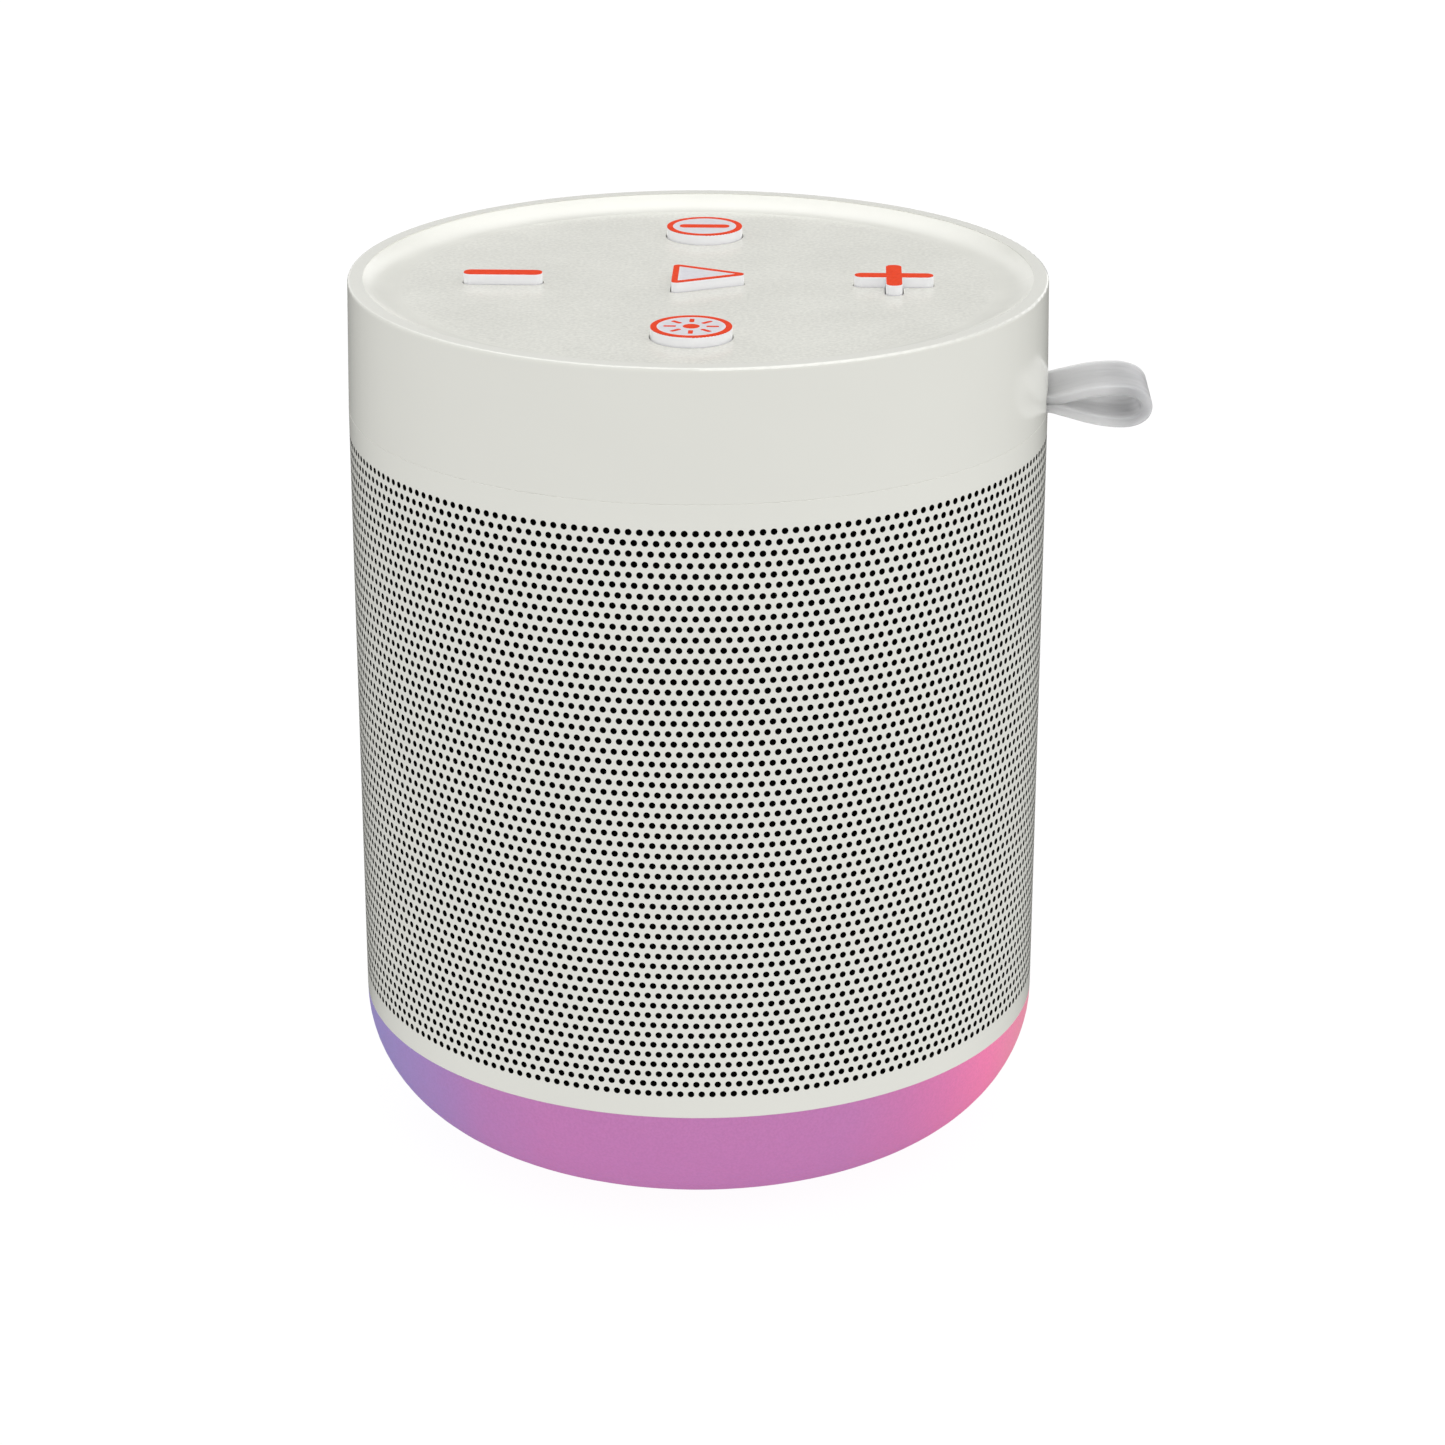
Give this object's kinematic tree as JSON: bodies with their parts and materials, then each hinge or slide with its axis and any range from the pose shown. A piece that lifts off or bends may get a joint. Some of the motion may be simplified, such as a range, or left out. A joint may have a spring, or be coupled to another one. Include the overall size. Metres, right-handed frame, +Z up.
{
  "type": "shower speaker",
  "caption": "Cylindrical wireless shower speaker with top buttons, perforated grille, lit translucent base and a carrying loop.",
  "frame": {"origin": "middle of the surface that the foot stands on, on the body's axis", "axes": "+Z up along the body's axis, -Y the side that the driver faces, +X the side with the carrying loop"},
  "size_m": [0.0916, 0.08, 0.1021],
  "materials": {
    "white_shell": "smooth matt",
    "white_panel": "fine grain",
    "white_grille": "matt paint",
    "white_button": "smooth, orange print",
    "diffuser": "translucent, lit",
    "grey_silicone": "translucent, satin",
    "white_silicone": "matt",
    "black_cloth": "woven",
    "dark_rubber": "matt",
    "seal_rubber": "matt",
    "grey_plastic": "fine grain",
    "black_plastic": "fine grain",
    "cone_paper": "pressed pulp",
    "radiator_plate": "smooth",
    "spider_cloth": "corrugated",
    "steel": "plated",
    "screw_steel": "zinc plated",
    "ferrite": "sintered",
    "copper_coil": "enamelled winding",
    "green_board": "solder mask",
    "led_package": "clear resin",
    "chip_black": "moulded",
    "plunger_black": "smooth",
    "cell_sleeve": "shrink sleeve",
    "red_lead": "smooth"
  },
  "bodies": {
    "housing": {"acoustic_cloth": "black_cloth", "base_plate": "grey_plastic", "base_screws": "screw_steel", "base_seal": "seal_rubber", "battery_cell": "cell_sleeve", "battery_cradle": "black_plastic", "battery_leads": "red_lead", "board_parts": "chip_black", "board_screws": "screw_steel", "button_membrane": "white_silicone", "charging_port": "steel", "chassis": "black_plastic", "chassis_lid": "black_plastic", "collar": "white_shell", "control_panel": "white_panel", "diffuser": "diffuser", "driver_frame": "black_plastic", "driver_gasket": "seal_rubber", "driver_magnet": "ferrite", "driver_screws": "screw_steel", "driver_spider": "spider_cloth", "driver_surround": "dark_rubber", "driver_top_plate": "steel", "driver_yoke": "steel", "foot_pad": "dark_rubber", "grille": "white_grille", "lead_grommets": "dark_rubber", "leds": "led_package", "lid_screws": "screw_steel", "lid_seal": "seal_rubber", "light_board": "green_board", "light_board_screws": "screw_steel", "light_leads": "red_lead", "main_board": "green_board", "port_seal": "dark_rubber", "radiator_frame": "black_plastic", "radiator_gasket": "seal_rubber", "radiator_screws": "screw_steel", "radiator_surround": "dark_rubber", "radio_module": "steel", "speaker_leads": "red_lead", "strap_root": "grey_silicone", "tact_switches": "chip_black"},
    "power_button": {"power_button": "white_button", "power_plunger": "plunger_black"},
    "play_button": {"play_button": "white_button", "play_plunger": "plunger_black"},
    "light_button": {"light_button": "white_button", "light_plunger": "plunger_black"},
    "minus_button": {"minus_button": "white_button", "minus_plunger": "plunger_black"},
    "plus_button": {"plus_button": "white_button", "plus_plunger": "plunger_black"},
    "cone": {"driver_cone": "cone_paper", "driver_dust_cap": "cone_paper", "voice_coil": "copper_coil"},
    "radiator": {"radiator_disc": "radiator_plate", "radiator_weight": "steel"},
    "port_cover": {"port_cover": "white_silicone"},
    "strap": {"strap_loop": "grey_silicone"}
  },
  "joints": [
    {"name": "power_press", "type": "slide", "parent": "housing", "child": "power_button", "axis": [0, 0, -1], "range_m": [0, 0.0003], "stiffness_N_per_m": 400, "deforming": ["button_membrane"]},
    {"name": "play_press", "type": "slide", "parent": "housing", "child": "play_button", "axis": [0, 0, -1], "range_m": [0, 0.0003], "stiffness_N_per_m": 400, "deforming": ["button_membrane"]},
    {"name": "light_press", "type": "slide", "parent": "housing", "child": "light_button", "axis": [0, 0, -1], "range_m": [0, 0.0003], "stiffness_N_per_m": 400, "deforming": ["button_membrane"]},
    {"name": "minus_press", "type": "slide", "parent": "housing", "child": "minus_button", "axis": [0, 0, -1], "range_m": [0, 0.0003], "stiffness_N_per_m": 400, "deforming": ["button_membrane"]},
    {"name": "plus_press", "type": "slide", "parent": "housing", "child": "plus_button", "axis": [0, 0, -1], "range_m": [0, 0.0003], "stiffness_N_per_m": 400, "deforming": ["button_membrane"]},
    {"name": "cone_travel", "type": "slide", "parent": "housing", "child": "cone", "axis": [0, -1, 0], "range_m": [-0.0015, 0.0015], "stiffness_N_per_m": 900, "deforming": ["driver_surround", "driver_spider"]},
    {"name": "radiator_travel", "type": "slide", "parent": "housing", "child": "radiator", "axis": [0, 1, 0], "range_m": [-0.002, 0.002], "stiffness_N_per_m": 600, "deforming": ["radiator_surround"]},
    {"name": "port_cover_hinge", "type": "hinge", "parent": "housing", "child": "port_cover", "pos_m": [0.0066, 0.03873, 0.09548], "axis": [0, 0, -1], "range_deg": [0, 90], "stiffness_Nm_per_rad": 0.002},
    {"name": "strap_flex", "type": "hinge", "parent": "housing", "child": "strap", "pos_m": [0.0422, 0, 0.08835], "axis": [0, 1, 0], "range_deg": [-60, 60], "stiffness_Nm_per_rad": 0.01}
  ]
}
